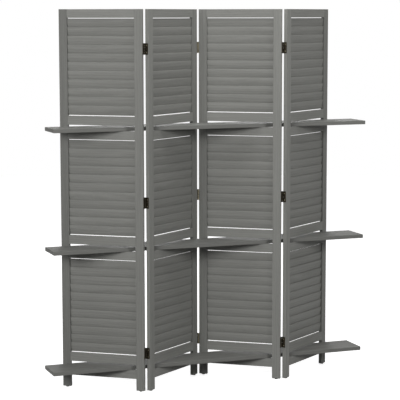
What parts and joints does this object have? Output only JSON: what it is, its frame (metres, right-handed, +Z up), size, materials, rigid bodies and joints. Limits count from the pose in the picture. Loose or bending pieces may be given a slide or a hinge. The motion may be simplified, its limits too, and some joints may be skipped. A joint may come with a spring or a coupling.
{
  "type": "folding screen",
  "caption": "Free-standing zigzag screen of hinged louvred wooden panels, with long shelf boards laid through slots in the panels.",
  "frame": {"origin": "on the floor, at the middle of the box round the whole screen", "axes": "+X along the row of panels, left to right as seen; +Y away from the viewer; +Z up"},
  "size_m": [1.5154, 0.2438, 1.7],
  "materials": {
    "frame_wood": "grey stain with visible grain",
    "louvre_wood": "grey stain with visible grain",
    "shelf_wood": "grey stain with visible grain",
    "dowel_wood": "bare beech",
    "glide_plastic": "matt",
    "hinge_brass": "antiqued, dark",
    "screw_brass": "antiqued, dark",
    "pin_steel": "worn"
  },
  "bodies": {
    "panel_1": {"panel_1_left_stile": "frame_wood", "panel_1_right_stile": "frame_wood", "panel_1_top_rail": "frame_wood", "panel_1_rail_dowels": "dowel_wood", "panel_1_foot_glides": "glide_plastic", "panel_1_hinge_screws": "screw_brass", "panel_1_lower_shelf_rails": "frame_wood", "panel_1_lower_louvres": "louvre_wood", "panel_1_middle_shelf_rails": "frame_wood", "panel_1_middle_louvres": "louvre_wood", "panel_1_upper_shelf_rails": "frame_wood", "panel_1_upper_louvres": "louvre_wood", "fold_1_left_leaves": "hinge_brass"},
    "panel_2": {"panel_2_left_stile": "frame_wood", "panel_2_right_stile": "frame_wood", "panel_2_top_rail": "frame_wood", "panel_2_rail_dowels": "dowel_wood", "panel_2_foot_glides": "glide_plastic", "panel_2_hinge_screws": "screw_brass", "panel_2_lower_shelf_rails": "frame_wood", "panel_2_lower_louvres": "louvre_wood", "panel_2_middle_shelf_rails": "frame_wood", "panel_2_middle_louvres": "louvre_wood", "panel_2_upper_shelf_rails": "frame_wood", "panel_2_upper_louvres": "louvre_wood", "fold_1_right_leaves": "hinge_brass", "fold_1_pins": "pin_steel", "fold_2_left_leaves": "hinge_brass", "fold_2_pins": "pin_steel"},
    "panel_3": {"panel_3_left_stile": "frame_wood", "panel_3_right_stile": "frame_wood", "panel_3_top_rail": "frame_wood", "panel_3_rail_dowels": "dowel_wood", "panel_3_foot_glides": "glide_plastic", "panel_3_hinge_screws": "screw_brass", "panel_3_lower_shelf_rails": "frame_wood", "panel_3_lower_louvres": "louvre_wood", "panel_3_middle_shelf_rails": "frame_wood", "panel_3_middle_louvres": "louvre_wood", "panel_3_upper_shelf_rails": "frame_wood", "panel_3_upper_louvres": "louvre_wood", "fold_2_right_leaves": "hinge_brass", "fold_3_left_leaves": "hinge_brass", "fold_3_pins": "pin_steel"},
    "panel_4": {"panel_4_left_stile": "frame_wood", "panel_4_right_stile": "frame_wood", "panel_4_top_rail": "frame_wood", "panel_4_rail_dowels": "dowel_wood", "panel_4_foot_glides": "glide_plastic", "panel_4_hinge_screws": "screw_brass", "panel_4_lower_shelf_rails": "frame_wood", "panel_4_lower_louvres": "louvre_wood", "panel_4_middle_shelf_rails": "frame_wood", "panel_4_middle_louvres": "louvre_wood", "panel_4_upper_shelf_rails": "frame_wood", "panel_4_upper_louvres": "louvre_wood", "fold_3_right_leaves": "hinge_brass"},
    "lower_shelf": {"lower_shelf": "shelf_wood"},
    "middle_shelf": {"middle_shelf": "shelf_wood"},
    "upper_shelf": {"upper_shelf": "shelf_wood"}
  },
  "joints": [
    {"name": "fold_2", "type": "hinge", "parent": "panel_2", "child": "panel_3", "pos_m": [-0.00875, 0.10694, 0], "axis": [0, 0, -1], "range_deg": [-3, 107]},
    {"name": "fold_1", "type": "hinge", "parent": "panel_2", "child": "panel_1", "pos_m": [-0.33814, -0.10694, 0], "axis": [0, 0, -1], "range_deg": [-3, 107]},
    {"name": "fold_3", "type": "hinge", "parent": "panel_3", "child": "panel_4", "pos_m": [0.32064, -0.10694, 0], "axis": [0, 0, 1], "range_deg": [-3, 107]},
    {"name": "shelf_turn", "type": "hinge", "parent": "panel_2", "child": "lower_shelf", "pos_m": [-0.17344, 0, 0], "axis": [0, 0, -1], "range_deg": [-1.5, 53.5]},
    {"name": "middle_shelf_slide", "type": "slide", "parent": "lower_shelf", "child": "middle_shelf", "axis": [1, 0, 0], "range_m": [-1.2, 1.2]},
    {"name": "upper_shelf_slide", "type": "slide", "parent": "lower_shelf", "child": "upper_shelf", "axis": [1, 0, 0], "range_m": [-1.2, 1.2]}
  ],
  "couplings": [
    {"joint": "fold_1", "follows": "fold_2", "ratio": 1},
    {"joint": "fold_3", "follows": "fold_2", "ratio": 1},
    {"joint": "shelf_turn", "follows": "fold_2", "ratio": 0.5}
  ]
}
